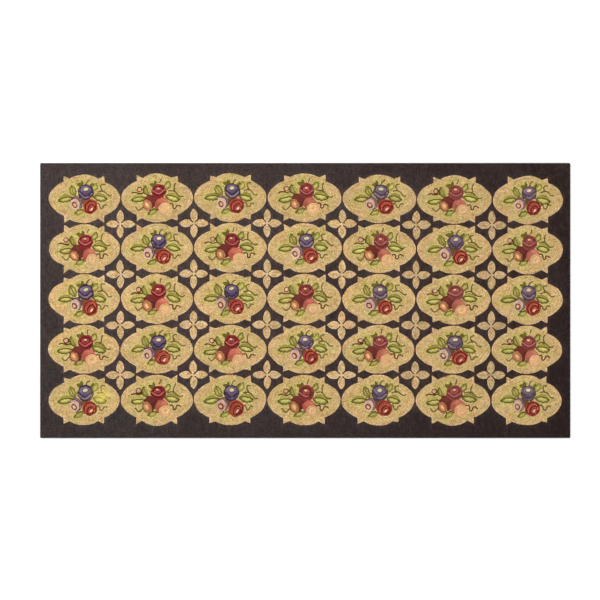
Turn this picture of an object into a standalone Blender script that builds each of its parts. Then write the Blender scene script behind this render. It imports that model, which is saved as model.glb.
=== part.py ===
"""Hooked rug: wool strips hooked through one woven ground cloth, lying flat.

Units are metres and +Z is up. The origin is at the middle of the flat underside, the rug's
length runs along X and its width along Y. The whole rug is one piece of cloth, so it is one
closed solid: the ground cloth with its turned hem, the flat backs of the strips below it, and the
body of the loops above it, which rolls over at the rim.
"""
import bmesh
import bpy

# Driving dimensions
RUG_LENGTH = 2.743            # nine feet, along X
RUG_WIDTH = 1.423             # four feet eight inches, along Y
STRIP_BACK = 0.0012           # flat backs of the strips, under the ground cloth
GROUND_CLOTH = 0.0012         # woven jute ground
PILE_HEIGHT = 0.0066          # a quarter inch of hooked loops above the ground cloth

# How the outline and the rim are rounded
CORNER_RADIUS = 0.008         # in plan, where the hem is folded at a corner
CORNER_STEPS = 6
RIM_RADIUS = 0.0050           # outermost loops lean out and roll over
RIM_STEPS = 5
UNDERSIDE_RADIUS = 0.0010     # fold of the hem under the rim
UNDERSIDE_STEPS = 2

THICKNESS = STRIP_BACK + GROUND_CLOTH + PILE_HEIGHT
PLANE_TOLERANCE = 1e-6        # a corner this near a plane lies in it

# Finish
WOOL_GROUND_COLOUR = (0.055, 0.042, 0.038, 1.0)
WOOL_ROUGHNESS = 0.95

COLLECTION_NAME = "hooked_rug"


def clear_scene():
    """Start from an empty scene."""
    for old in list(bpy.data.objects):
        bpy.data.objects.remove(old, do_unlink=True)


def new_collection(name):
    """A collection for the rug, linked to the scene."""
    collection = bpy.data.collections.new(name)
    bpy.context.scene.collection.children.link(collection)
    return collection


def wool_material(name):
    """Matt dark wool, the colour of the rug's ground."""
    material = bpy.data.materials.new(name)
    material.use_nodes = True
    shader = material.node_tree.nodes["Principled BSDF"]
    shader.inputs["Base Color"].default_value = WOOL_GROUND_COLOUR
    shader.inputs["Roughness"].default_value = WOOL_ROUGHNESS
    shader.inputs["Metallic"].default_value = 0.0
    material.diffuse_color = WOOL_GROUND_COLOUR
    return material


def upright_edges(mesh):
    """The edges that stand at the slab's four corners."""
    return [edge for edge in mesh.edges
            if abs(edge.verts[0].co.z - edge.verts[1].co.z) > THICKNESS / 2]


def edges_at_height(mesh, height):
    """The outline's edges in the plane at this height."""
    return [edge for edge in mesh.edges
            if all(abs(corner.co.z - height) < PLANE_TOLERANCE for corner in edge.verts)]


def round_edges(mesh, edges, radius, steps):
    """Round these edges off with an arc of the given radius."""
    bmesh.ops.bevel(mesh, geom=edges, offset=radius, offset_type="OFFSET",
                    segments=steps, profile=0.5, affect="EDGES", clamp_overlap=True)


def rug_mesh(name):
    """A slab of the rug's size with round corners, a rolled upper rim and a folded lower one."""
    mesh = bmesh.new()
    bmesh.ops.create_cube(mesh, size=1.0)
    bmesh.ops.scale(mesh, vec=(RUG_LENGTH, RUG_WIDTH, THICKNESS), verts=mesh.verts)
    bmesh.ops.translate(mesh, vec=(0.0, 0.0, THICKNESS / 2), verts=mesh.verts)
    round_edges(mesh, upright_edges(mesh), CORNER_RADIUS, CORNER_STEPS)
    round_edges(mesh, edges_at_height(mesh, THICKNESS), RIM_RADIUS, RIM_STEPS)
    round_edges(mesh, edges_at_height(mesh, 0.0), UNDERSIDE_RADIUS, UNDERSIDE_STEPS)
    data = bpy.data.meshes.new(name)
    mesh.to_mesh(data)
    mesh.free()
    return data


def add_rug(collection):
    """The rug itself, resting on z = 0."""
    rug = bpy.data.objects.new("hooked_rug", rug_mesh("hooked_rug"))
    rug.data.materials.append(wool_material("wool_pile"))
    rug.data.shade_smooth()
    rug.data.set_sharp_from_angle(angle=0.6)
    collection.objects.link(rug)
    return rug


clear_scene()
add_rug(new_collection(COLLECTION_NAME))
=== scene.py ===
"""Hooked rug: rose-bouquet medallions on a dark ground, hooked loop by loop.

The drawing is worked out as distance fields. Every shape of it is then hooked as a maker hooks it:
a row along its outline, and further rows inside, one loop after another.
"""

import math
from collections import namedtuple

import bpy
import numpy as np
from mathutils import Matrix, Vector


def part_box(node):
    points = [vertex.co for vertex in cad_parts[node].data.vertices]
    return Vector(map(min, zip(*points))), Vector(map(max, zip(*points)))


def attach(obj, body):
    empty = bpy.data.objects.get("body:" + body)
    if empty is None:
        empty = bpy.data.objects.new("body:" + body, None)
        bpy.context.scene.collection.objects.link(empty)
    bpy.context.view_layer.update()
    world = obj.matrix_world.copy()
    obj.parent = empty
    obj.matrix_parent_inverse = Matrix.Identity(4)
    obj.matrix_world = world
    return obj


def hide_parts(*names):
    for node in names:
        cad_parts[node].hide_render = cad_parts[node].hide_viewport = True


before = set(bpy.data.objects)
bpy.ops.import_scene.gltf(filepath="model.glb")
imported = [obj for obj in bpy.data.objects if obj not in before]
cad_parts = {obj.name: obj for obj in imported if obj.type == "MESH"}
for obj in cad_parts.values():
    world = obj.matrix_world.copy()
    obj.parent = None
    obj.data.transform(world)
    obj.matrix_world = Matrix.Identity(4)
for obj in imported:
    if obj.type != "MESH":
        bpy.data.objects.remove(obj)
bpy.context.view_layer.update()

MM = 0.001
RUG_NODE = "hooked_rug"
RUG_LOW, RUG_HIGH = (np.array(corner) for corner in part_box(RUG_NODE))
RUG_SIZE = RUG_HIGH - RUG_LOW

# Cloth and loops, in metres
CLOTH_TOP = 5.0 * MM  # top of the ground cloth with the feet of the loops
HEM_INSET = 2.2 * MM  # how far the cloth's hem lies inside the outermost loops
HEM_ROUND = 1.2 * MM  # of the cloth's edges
LOOP_FOOT = 4.7 * MM  # where a loop comes out of the cloth
LOOP_CROWN = 8.6 * MM  # middle height of the crowns
CROWN_UNEVEN = 0.35 * MM
SPREAD = 0.62  # half a loop's foot, as a share of the distance to the next one
SPREAD_UNEVEN = 0.06  # how much feet differ in size
CROWN_STRAY = 0.10  # how far crowns stray, as a share of a loop's size
RIM_FOOT = 3.2 * MM  # how low the outermost loops hang over the hem
RIM_REACH = 1.5 * MM  # feet this near the rug's side hang down
RIM_LEAN = 4.6 * MM  # loops whose middle is this near the side lean outwards
RIM_BULGE, RIM_DROP = 0.5 * MM, 1.0 * MM  # how near their crowns come, and sink
CORNER_RADIUS = 5.5 * MM  # in plan, of the pile at the rug's corners
# Painted shade on the loops' feet, painted light on their crowns, and deeper painted shade on the
# feet that hang over the hem; each multiplies the loop's colour
FOOT_PAINTED_SHADE, CROWN_PAINTED_LIGHT, RIM_PAINTED_SHADE = 0.80, 1.12, 0.45
MAP_SHRINK = 0.68  # a loop's size in the map, so that neighbours don't overlap
MAP_MARGIN = 2.0 * MM  # round each tile of a map

# Yarns: distance of rows and of loops in a row, in millimetres, how much strips and single loops
# differ in lightness, how much strips differ in hue, and how much more the blue differs
Yarn = namedtuple("Yarn", "pitch spacing strip grain cast blue")
DARK = Yarn(5.7, 4.9, 0.10, 0.15, 0.02, 1.1)
DARK_AMONG = Yarn(5.7, 4.9, 0.16, 0.24, 0.04, 1.5)  # round the medallions and flowers
CREAM = Yarn(5.1, 4.3, 0.10, 0.18, 0.03, 1.6)
FLOWER = Yarn(4.0, 3.9, 0.06, 0.08, 0.02, 1.1)
TENDRIL = Yarn(6.6, 3.9, 0.06, 0.07, 0.02, 1.1)
WARM, GREEN = np.array([0.6, 0.0, -1.0]), np.array([-0.6, 0.6, -0.6])
RED_LIGHT, GREEN_LIGHT = 0.9, 1.05  # how much red and green differ with the lightness
BARE_REACH = 0.57  # in rows: cloth further than this from all loops gets one more
BARE_GAP = 0.75  # in rows: these further loops keep this distance
OUTERMOST, INNER = 0.5, 2.0  # in rows: depth of a shape's outermost row, and of loops further in
# In rows, how far inside their outlines shapes, creams and petals are filled, and tendrils show
SHAPE_INSIDE, CREAM_INSIDE, PETAL_INSIDE, ROW_INSIDE = 0.3, 0.25, 0.2, 0.2
# In rows, the room that dark loops need along the edge, round a shape, in straight rows and between
EDGE_ROOM, AROUND_ROOM, STRAIGHT_ROOM, FILL_ROOM = 0.4, 0.2, 0.45, 0.35
DARK_GAP = 0.8  # in loops: how near the loops of two dark rows may come
EDGE_INSET = 0.4  # millimetres from the rug's outline to the outermost row
EDGE_ROWS = 5  # rows that follow the rug's four sides
AMONG_LIGHTER = 0.30  # how much lighter the dark wool is among the medallions
AMONG_ROOM = 25.0  # among them, the ground is about this wide from its middle

# The lattice of medallions, in millimetres from the rug's middle
COLUMN_EDGES = [-1330, -956, -576, -196, 193, 578, 968, 1338]
COLUMN_LEAN = [-3, -1, -4, -2, -7, -12, -9, -7]  # how far each edge has moved at the bottom row
ROW_EDGES = [655, 398, 138, -125, -382, -649]
ROW_RISE = [0, 4, 7, 6, 0, -5, -7]  # how far each column's top is raised
COLUMNS, ROWS = len(COLUMN_EDGES) - 1, len(ROW_EDGES) - 1

# One medallion, in millimetres from its middle
CELL_WIDE, CELL_HIGH = 380.4, 260.5
DARK_LINE = 6.4  # one row of dark loops between two medallions
SIDE_HALF_LENGTH, SIDE_HALF_HEIGHT = 187.0, 107.4
SIDE_POWER = 1.98  # a little more pointed than an ellipse
ARCH_RADIUS, ARCH_TOP = 138.0, 127.4
ARCH_REACH = CELL_HIGH / 2 - DARK_LINE / 2
EAR_OUTER, EAR_INNER, EAR_BOTTOM = 106.0, 64.0, 70.0  # straight sides of the four ears
EAR_TIP = (105.0, 118.5)
EAR_NOTCH = (72.0, 104.5)  # between an ear and the arch

# One four-petal flower, in millimetres from its middle
FLOWER_SHIFT = (0.2, -3.6)  # from the corner where four medallions meet
PETAL_INNER, PETAL_WIDEST, PETAL_TIP = 0.5, 36.5, 75.5
PETAL_HALF_WIDTH_UP, PETAL_HALF_WIDTH_SIDE = 18.8, 20.8
PETAL_HEART = 8.0  # radius of the joined middle
PETAL_GROW = 0.94, 1.04  # the narrowest and widest petals against these
FLOWER_LIGHTNESS = [1.0, 1.03, 0.98, 1.05, 0.89, 0.90]  # how light the cream of each column of flowers is
ROW_PAINTED_LIGHT = [0.93, 0.98, 1.01, 0.99, 0.98]  # painted light: how light the cream ground of each row of medallions is, darkest at the top row where less light falls
SLIT_START, SLIT_END, SLIT_HALF_WIDTH = 8.5, 30.0, 3.4

# Grids of the drawings in millimetres: their steps, and how far they reach beyond a drawing
MEDALLION_STEP, FLOWER_STEP, GROUND_STEP = 1.5, 1.2, 2.0
MEDALLION_MARGIN, FLOWER_MARGIN = 6, 4
# How far from a drawing the dark ground follows it, and the distance that stands for further ones
MEDALLION_AROUND, FLOWER_AROUND, FAR_OFF = 40, 30, 60.0

# Seeds of what is random
MEDALLION_SEED, FLOWER_SEED, GROUND_SEED, SWAY_SEED, STAIN_SEED = 1000, 9000, 900, 800, 77

# Hand drawing, in millimetres: how far places stray and over what distance
RUG_SWAY = 2.4, 60.0
MEDALLION_SWAY = 1.5, 26.0
FLOWER_SWAY = 1.6, 28.0
EAR_UNEVEN = np.array([3.0, 6.0])
LOBES, LOBE_DEPTH = 6, 0.03  # petals in a rose's outline, and their depth as a share of it
LEAF_WAVE, LEAF_WAVE_LENGTH = 1.3, 21.0
RIB_SHIFT = 0.14  # of the leaf's width, towards its far side
RIB_START, RIB_END, RIB_POINTS = 0.04, 0.9, 12  # along the leaf's length
FAR_RIM = 0.6  # how much of the blade's wool is in the rim of a leaf's far side
RIM_FADE = 0.3  # how much more of it each further row has
PETAL_SHADE, PETAL_SHADES = 0.08, 3  # how much lighter some petals are, and how many
TENDRIL_TURN = 6.0  # how far tendrils turn at most, in degrees
DYE_LIGHT, DYE_HUE = 0.05, 0.025  # how much the dyes of shapes differ
HALO_REACH, GLOW_REACH = 10.0, 30.0  # greenish wool round leaves and bouquets
HALO_LEFT, HALO_RIGHT, GLOW, HALO_MOST = 0.8, 0.45, 0.35, 0.8  # and its shares
STAINED_CELL, STAIN_STRENGTH, STAIN_MOST = (4, 0), 0.85, 0.9
STAIN_MIDDLE, STAIN_HALF_SIZE = (98.0, 22.0), (46.0, 29.0)
STAIN_EVEN, STAIN_PATCHY, STAIN_PATCH = 0.8, 0.35, 14.0  # even and patchy part, patch size
FADE_START, FADE_LENGTH, FADE_MOST = -500.0, 1100.0, 0.17  # along the rug, towards the right

# Wools in a cream ground: the share that each has everywhere, and what comes and goes
Tweed = namedtuple("Tweed", "wool even patchy")
CREAM_TWEED = [Tweed("gold", 0.2, 0.7), Tweed("straw", 0.0, 0.7), Tweed("peach", 0.0, 0.8)]
TWEED_PATCH, BROAD_PATCH = 12.0, 50.0  # size of the patches
BROAD_LIGHT, TWEED_LIGHT = 0.07, 0.10  # how much their lightness differs
PALE_ROW = 0.4  # share of pale wool in the outermost row

# Wools in the dark ground: the most of each, how much less at the right and how much more among the
# medallions, and the size of its patches
Fleck = namedtuple("Fleck", "wool most less among patch")
FLECKS = [Fleck("aubergine", 0.9, 0.5, 0.0, 13), Fleck("moss_black", 0.8, 0.5, 0.0, 17),
          Fleck("rust_black", 0.6, 0.4, 0.3, 15)]
BROWN_PATCH, BROWN_PATCHY = 120, 0.15  # larger patches of browner wool
# How blotchy it is at the left, and how much more among medallions and at the right
BLOTCHY, BLOTCHY_AMONG, BLOTCHY_RIGHT = 0.12, 0.16, -0.06
# How much lighter it is near the middle, how far left of it, at the ends and at the top
MIDDLE_LIGHTER, MIDDLE_SHIFT, ENDS_LIGHTER, TOP_LIGHTER = 0.13, 0.2, -0.06, 0.117
AMONG_START = 1.4  # ground wider than this many AMONG_ROOM isn't among medallions
LINE_ROOM = 6.0  # dark ground this narrow, from its middle, is one rust-brown row

PALETTE = {
    # wool of the grounds
    "cream": (197, 166, 122), "gold": (199, 157, 96), "peach": (206, 160, 124),
    "straw": (188, 169, 110), "oat": (207, 183, 146), "flower_cream": (197, 170, 128),
    "slit": (76, 48, 30), "charcoal": (61, 53, 51), "umber": (42, 28, 26),
    "aubergine": (55, 45, 52), "moss_black": (56, 50, 40), "rust_black": (66, 48, 40),
    # the ground cloth's jute: its brown is taken darker as painted shade where it shows in the gaps
    # between the loops
    "rust_line": (84, 41, 14), "jute_deep": (52, 40, 30), "jute": (96, 76, 52),
    # blue rose
    "indigo": (55, 38, 58), "violet_deep": (84, 68, 96), "violet": (114, 97, 124),
    "violet_grey": (136, 115, 130), "dusk": (98, 80, 106), "lemon": (212, 196, 150),
    # lilac rose
    "plum": (86, 56, 68), "mauve": (126, 92, 104), "lilac": (200, 166, 146),
    "shell": (216, 182, 152), "cocoa": (112, 62, 44), "white_pink": (216, 172, 138),
    # red rose
    "coral": (188, 98, 76), "red": (150, 53, 42), "ruby": (126, 40, 32), "garnet": (104, 28, 20),
    "scarlet": (158, 70, 54), "cream_heart": (236, 188, 158),
    # crimson rose
    "crimson": (142, 46, 50), "wine": (101, 25, 30), "rose": (188, 98, 88), "maroon": (96, 39, 32),
    "brick": (114, 50, 42), "apricot_heart": (232, 180, 140),
    # tan, salmon and peach roses
    "tan": (188, 132, 92), "tan_deep": (132, 76, 50), "dusky": (204, 150, 106),
    "amber": (240, 192, 124), "salmon": (206, 120, 97), "salmon_deep": (168, 86, 68),
    "pink": (212, 160, 117), "peach_rose": (211, 170, 122), "peach_light": (226, 188, 136),
    "pistachio": (200, 164, 104), "bud": (212, 170, 132),
    # leaves and tendrils
    "olive_deep": (70, 62, 14), "olive_dark": (100, 89, 27),
    "olive": (128, 117, 48), "leaf": (171, 159, 80), "leaf_pale": (203, 191, 110),
    "tendril": (108, 88, 34), "tendril_brown": (96, 44, 18),
    # what a stain, the leaves' dye and the light leave
    "stain": (228, 206, 108), "halo": (184, 172, 93), "faded": (152, 124, 104),
}

# An oval ring of petals: middle, half axes and turn; its outermost row, its body towards the light
# and away from it, and the way the light comes from. Turn and light are in degrees.
Ring = namedtuple("Ring", "x y wide high turn edge fill shade light")
# A leaf from its base to its tip. Its near side has a dark rim, and the far side beyond its rib
# hardly any; the far side is the left one at 1, the right one at -1 and none at 0.
Leaf = namedtuple("Leaf", "x y heading length width bend side rim rib far near")
# A tendril is one row whose heading bends steadily and swings to and fro.
Tendril = namedtuple("Tendril", "x y heading length bend swing waves colour")
# Petal lines are rows like tendrils, over the rings.
Bouquet = namedtuple("Bouquet", "leaves tendrils rings petals")


def plain_ring(x, y, wide, high, turn, wool):
    """A ring all of one wool."""
    return Ring(x, y, wide, high, turn, wool, wool, wool, 90)


def plain_leaf(x, y, heading, length, width, bend, rim, blade):
    """A leaf without a rib, alike on both sides."""
    return Leaf(x, y, heading, length, width, bend, 0, rim, None, blade, blade)


BLUE_BOUQUET = Bouquet(
    leaves=[
        Leaf(-54, 4, 186, 84, 40, -4, -1, "olive_deep", "olive_dark", "leaf", "leaf_pale"),
        Leaf(-42, 14, 117, 64, 37, 4, 0, "olive_dark", "olive", "leaf_pale", "leaf_pale"),
        plain_leaf(-4, 60, 152, 40, 20, 0, "olive_dark", "olive"),
        plain_leaf(-10, 60, 94, 36, 16, 0, "olive_dark", "olive"),
        plain_leaf(34, 58, 60, 32, 16, 0, "olive_dark", "olive"),
        plain_leaf(42, 42, 57, 52, 31, -5, "olive", "leaf_pale"),
        Leaf(44, 10, -12, 78, 46, 4, 1, "olive_deep", "olive_dark", "leaf", "leaf_pale"),
        Leaf(2, -62, 203, 56, 29, 0, 1, "olive_deep", None, "leaf", "leaf_pale"),
        plain_leaf(-2, 6, 272, 42, 30, 0, "olive_dark", "cocoa"),
    ],
    tendrils=[
        Tendril(11, 78, 34, 27, 29, 34, 0.5, "tendril"),
        Tendril(71, 37, -65, 82, 130, 74, 0.7, "tendril"),
        Tendril(93, 42, 140, 49, -138, -23, 1.2, "tendril"),
        Tendril(66, -28, -52, 80, 90, 60, 1.5, "tendril"),
    ],
    rings=[
        plain_ring(8, 35, 41, 40, 0, "indigo"),
        Ring(8, 36, 36, 34, 0, "violet_deep", "violet", "violet", -80),
        Ring(7, 46, 31, 23, 0, "violet_deep", "violet_grey", "dusk", 110),
        plain_ring(8, 50, 13, 8, 10, "lemon"),
        Ring(-41, -23, 31, 36, 0, "plum", "lilac", "mauve", 215),
        Ring(-48, -29, 25, 30, 0, "lilac", "shell", "lilac", 215),
        plain_ring(-50, -33, 17, 13, -58, "cocoa"),
        plain_ring(-50, -33, 10, 7, -58, "white_pink"),
        Ring(31, -42, 41, 40, 48, "scarlet", "scarlet", "red", -60),
        Ring(32, -43, 35, 33, 48, "garnet", "red", "ruby", 120),
        Ring(33, -44, 30, 26, 48, "coral", "red", "ruby", 120),
        Ring(35, -48, 24, 18, 48, "garnet", "ruby", "ruby", 120),
        Ring(37, -51, 18, 12, 48, "coral", "garnet", "garnet", 90),
        plain_ring(39, -55, 10, 5, 48, "cream_heart"),
    ],
    petals=[
        Tendril(-27, 32, -60, 84, 120, 20, 1.5, "violet_grey"),
        Tendril(-29, 40, -60, 90, 120, 20, 1.5, "indigo"),
    ],
)

CRIMSON_BOUQUET = Bouquet(
    leaves=[
        Leaf(-56, -3, 187, 84, 43, -4, -1, "olive_deep", "olive_dark", "leaf_pale", "leaf_pale"),
        Leaf(-42, 14, 116, 62, 36, 4, -1, "olive_deep", "olive", "leaf_pale", "leaf"),
        plain_leaf(-6, 60, 150, 38, 20, 0, "olive_dark", "olive"),
        plain_leaf(-10, 60, 94, 34, 15, 0, "olive_dark", "olive"),
        plain_leaf(38, 42, 57, 52, 32, -4, "olive_dark", "leaf_pale"),
        Leaf(44, 11, -12, 78, 48, 5, 1, "olive_deep", "olive_dark", "leaf", "leaf_pale"),
        Leaf(4, -59, 204, 58, 29, 0, 1, "olive_deep", None, "leaf", "leaf_pale"),
        plain_leaf(0, 10, 270, 44, 26, 0, "brick", "cocoa"),
    ],
    tendrils=[
        Tendril(15, 84, 63, 20, 13, -1, 0.9, "tendril"),
        Tendril(60, 36, -36, 92, 60, 50, 0.8, "tendril"),
        Tendril(92, 42, 109, 38, -50, 1, 0.6, "tendril"),
        Tendril(66, -29, -48, 92, 86, 72, 1.6, "tendril_brown"),
        Tendril(-113, -45, -73, 51, 152, 21, 1.6, "tendril"),
        Tendril(-131, 24, 14, 56, -20, 20, 1.0, "tendril_brown"),
    ],
    rings=[
        plain_ring(-93, 46, 14.5, 14, 0, "tendril_brown"),
        plain_ring(-93, 46, 9.5, 9, 0, "bud"),
        Ring(-34, -18, 35, 38, 0, "maroon", "brick", "maroon", 100),
        Ring(9.5, 35, 40, 41, 0, "crimson", "crimson", "wine", 90),
        Ring(8, 37, 32, 31, 0, "wine", "crimson", "wine", 100),
        Ring(7, 44, 22, 20, 0, "wine", "rose", "crimson", 90),
        plain_ring(6, 51, 8.5, 5, -10, "apricot_heart"),
        Ring(-51, -36, 31, 24, -62, "tan_deep", "tan", "tan", 250),
        Ring(-52, -36, 21, 15, -60, "tan", "dusky", "dusky", 90),
        plain_ring(-52, -35, 12, 6, -60, "amber"),
        Ring(26, -34, 36, 35, 20, "salmon_deep", "salmon", "salmon_deep", 30),
        Ring(42, -55, 32, 30, 30, "pink", "peach_rose", "peach_rose", -30),
        Ring(43, -54, 20, 16, 40, "peach_light", "peach_rose", "peach_rose", 100),
        Ring(43, -52, 11, 8, 50, "pistachio", "peach_light", "pistachio", 90),
    ],
    petals=[
        Tendril(-24, 40, -58, 78, 116, 12, 1.5, "rose"),
        Tendril(-28, 30, -52, 86, 104, 14, 1.5, "wine"),
    ],
)


def linear(colour):
    """Linear red, green and blue of a colour given as 0 to 255."""
    share = np.asarray(colour, float) / 255
    return np.where(share <= 0.04045, share / 12.92, ((share + 0.055) / 1.055) ** 2.4)


WOOL = {name: linear(colour) for name, colour in PALETTE.items()}
FADING = {"indigo", "violet_deep", "violet", "violet_grey", "dusk", "plum", "mauve",
          "crimson", "wine", "rose", "salmon", "salmon_deep"}


def mixed(first, second, share):
    """From the first colour at share 0 to the second at share 1, for each loop."""
    share = np.asarray(share)[..., None]
    return np.asarray(first) * (1 - share) + np.asarray(second) * share


def aged_wool(x):
    """The wools as light has left them at this place along the rug: some dyes fade."""
    share = FADE_MOST * min(max((x - FADE_START) / FADE_LENGTH, 0), 1)
    return {name: mixed(colour, WOOL["faded"], share) if name in FADING else colour
            for name, colour in WOOL.items()}


def between(at, i, j, s, t):
    """What lies at the shares s and t of the way from the value at i, j to the next ones."""
    low = at(i, j) * (1 - s) + at(i + 1, j) * s
    high = at(i, j + 1) * (1 - s) + at(i + 1, j + 1) * s
    return low * (1 - t) + high * t


class SoftNoise:
    """Smooth random values from -1 to 1 over a plane, the same for the same seed."""

    def __init__(self, seed, scale, size=64):
        self.values = np.random.default_rng(seed).uniform(-1, 1, (size, size))
        self.scale, self.size = scale, size

    def __call__(self, x, y):
        u, v = np.asarray(x) / self.scale, np.asarray(y) / self.scale
        i, j = np.floor(u).astype(int), np.floor(v).astype(int)
        s, t = u - i, v - j
        s, t = s * s * (3 - 2 * s), t * t * (3 - 2 * t)
        at = lambda a, b: self.values[a % self.size, b % self.size]
        return between(at, i, j, s, t)


# Distance fields: negative inside a shape, in the unit of their arguments


def turned(x, y, degrees):
    """Coordinates along and across a direction."""
    c, s = math.cos(math.radians(degrees)), math.sin(math.radians(degrees))
    return x * c + y * s, -x * s + y * c


FLATTEST = 0.7  # least slope of an oval's field, for one whose longer half axis is 1


def oval_field(x, y, wide, high, power=2.0, reach=1.0):
    """An oval about the origin, which a reach above or below 1 lets out or takes in."""
    u, v = np.abs(x) / wide, np.abs(y) / high
    near = np.maximum((u ** power + v ** power) ** (1 / power), 1e-6)
    steep = np.hypot((u / near) ** (power - 1) / wide, (v / near) ** (power - 1) / high)
    return (near - reach) / np.maximum(steep, FLATTEST / max(wide, high))


def pointed_oval_field(along, across, half_length, half_width):
    """Two arcs that meet in a point at each end."""
    radius = (half_length ** 2 + half_width ** 2) / (2 * half_width)
    shift = radius - half_width
    return np.hypot(along, np.abs(across) + shift) - radius


def side_field(x, y, start, end):
    """The half plane to the right of the line from start to end is positive."""
    dx, dy = end[0] - start[0], end[1] - start[1]
    return ((x - start[0]) * dy - (y - start[1]) * dx) / np.hypot(dx, dy)


def path_field(x, y, path):
    """Distance to a line through the points of a path."""
    nearest = np.full(np.shape(x), np.inf)
    for (ax, ay), (bx, by) in zip(path[:-1], path[1:]):
        dx, dy = bx - ax, by - ay
        share = ((x - ax) * dx + (y - ay) * dy) / (dx * dx + dy * dy)
        share = np.clip(share, 0, 1)
        nearest = np.minimum(nearest, np.hypot(x - ax - share * dx, y - ay - share * dy))
    return nearest


def medallion_outline(seed):
    """The outline of one medallion: an oval, a round arch above and below, and four uneven ears."""
    shift = np.random.default_rng(seed).uniform(-1, 1, (2, 2, 2)) * EAR_UNEVEN

    def field(x, y):
        right, upper = (x > 0).astype(int), (y > 0).astype(int)
        tip = EAR_TIP[0] + shift[right, upper, 0], EAR_TIP[1] + shift[right, upper, 1]
        x, y = np.abs(x), np.abs(y)
        oval = oval_field(x, y, SIDE_HALF_LENGTH, SIDE_HALF_HEIGHT, SIDE_POWER)
        arch = np.hypot(x, y - (ARCH_TOP - ARCH_RADIUS)) - ARCH_RADIUS
        ear = np.maximum(x - EAR_OUTER, side_field(x, y, tip, EAR_NOTCH))
        ear = np.maximum(ear, np.maximum(EAR_BOTTOM - y, EAR_INNER - x))
        return np.maximum(np.minimum(np.minimum(oval, arch), ear), y - ARCH_REACH)

    return field


def slit_field(x, y):
    """The four diagonal slits between the petals of a flower."""
    x, y = np.abs(x), np.abs(y)
    along, across = turned(x, y, 45)
    slit = np.maximum(np.abs(across) - SLIT_HALF_WIDTH, SLIT_START - along)
    return np.maximum(slit, along - SLIT_END)


def flower_outline(seed):
    """Four pointed petals, joined at the middle and parted by slits."""
    grow = np.random.default_rng(seed).uniform(*PETAL_GROW)

    def petal(out, across, half_width):
        half = np.where(out > PETAL_WIDEST, PETAL_TIP - PETAL_WIDEST, PETAL_WIDEST - PETAL_INNER)
        return pointed_oval_field(out - PETAL_WIDEST, across, half, half_width * grow)

    def field(x, y):
        side = petal(np.abs(x), y, PETAL_HALF_WIDTH_SIDE)
        up = petal(np.abs(y), x, PETAL_HALF_WIDTH_UP)
        heart = np.hypot(x, y) - PETAL_HEART
        petals = np.minimum(np.minimum(side, up), heart)
        return np.maximum(petals, -slit_field(x, y))

    return field


# Rows of hooking along the levels of a field

# Which edges of a grid square a level crosses: bottom 0, right 1, top 2, left 3. The key adds
# 1, 2, 4 and 8 for its lower left, lower right, upper right and upper left corner being inside.
# The inside lies to the left of each crossing.
CROSSINGS = {
    1: [(0, 3)], 2: [(1, 0)], 3: [(1, 3)], 4: [(2, 1)], 5: [(0, 3), (2, 1)], 6: [(2, 0)],
    7: [(2, 3)], 8: [(3, 2)], 9: [(0, 2)], 10: [(1, 0), (3, 2)], 11: [(1, 2)], 12: [(3, 1)],
    13: [(0, 1)], 14: [(3, 0)],
}


def edge_number(square_y, square_x, side, wide, high):
    """A number for each edge of the grid, the same from both squares that share it."""
    upright = wide * high
    return {
        0: square_y * wide + square_x,
        1: upright + square_y * wide + square_x + 1,
        2: (square_y + 1) * wide + square_x,
        3: upright + square_y * wide + square_x,
    }[side]


def level_paths(field, level):
    """The paths along which a gridded field has this level, in grid steps, inside on their left."""
    inside = field < level
    if not inside.any() or inside.all():
        return []
    high, wide = field.shape
    key = inside[:-1, :-1] + 2 * inside[:-1, 1:] + 4 * inside[1:, 1:] + 8 * inside[1:, :-1]
    following = {}
    for number, crossings in CROSSINGS.items():
        rows, columns = np.nonzero(key == number)
        for start, end in crossings:
            first = edge_number(rows, columns, start, wide, high)
            second = edge_number(rows, columns, end, wide, high)
            following.update(zip(first.tolist(), second.tolist()))
    chains = []
    openings = set(following) - set(following.values())
    while following:
        start = openings.pop() if openings else next(iter(following))
        chain = [start]
        while chain[-1] in following:
            chain.append(following.pop(chain[-1]))
        chains.append(np.array(chain))
    return [crossing_points(field, level, chain) for chain in chains]


def crossing_points(field, level, chain):
    """Where the level crosses each of these grid edges."""
    high, wide = field.shape
    upright = chain >= wide * high
    cell = chain % (wide * high)
    row, column = cell // wide, cell % wide
    here = field[row, column]
    there = field[np.minimum(row + upright, high - 1), np.minimum(column + ~upright, wide - 1)]
    share = (level - here) / np.where(there == here, 1, there - here)
    return np.stack([column + share * ~upright, row + share * upright], 1)


def resampled(path, spacing, least=0.6):
    """Places at even steps of about this spacing along a path, with the heading at each. A path
    that is shorter than the least share of a step has none."""
    steps = np.hypot(*np.diff(path, axis=0).T)
    walked = np.concatenate([[0], np.cumsum(steps)])
    length = walked[-1]
    if length < least * spacing:
        return np.empty((0, 2)), np.empty(0)
    count = max(1, round(length / spacing))
    wanted = (np.arange(count) + 0.5) * length / count
    reach = min(spacing, length / 2)
    at = lambda s: np.stack([np.interp(s, walked, path[:, 0]), np.interp(s, walked, path[:, 1])], 1)
    ahead = at(np.minimum(wanted + reach / 2, length)) - at(np.maximum(wanted - reach / 2, 0))
    return at(wanted), np.arctan2(ahead[:, 1], ahead[:, 0])


Loops = namedtuple("Loops", "x y heading long wide colour")


def gathered(parts):
    """Many groups of loops as one."""
    return Loops(*(np.concatenate(column) for column in zip(*parts)))


def chosen(loops, which):
    """Some of the loops."""
    return Loops(*(column[which] for column in loops))


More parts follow.
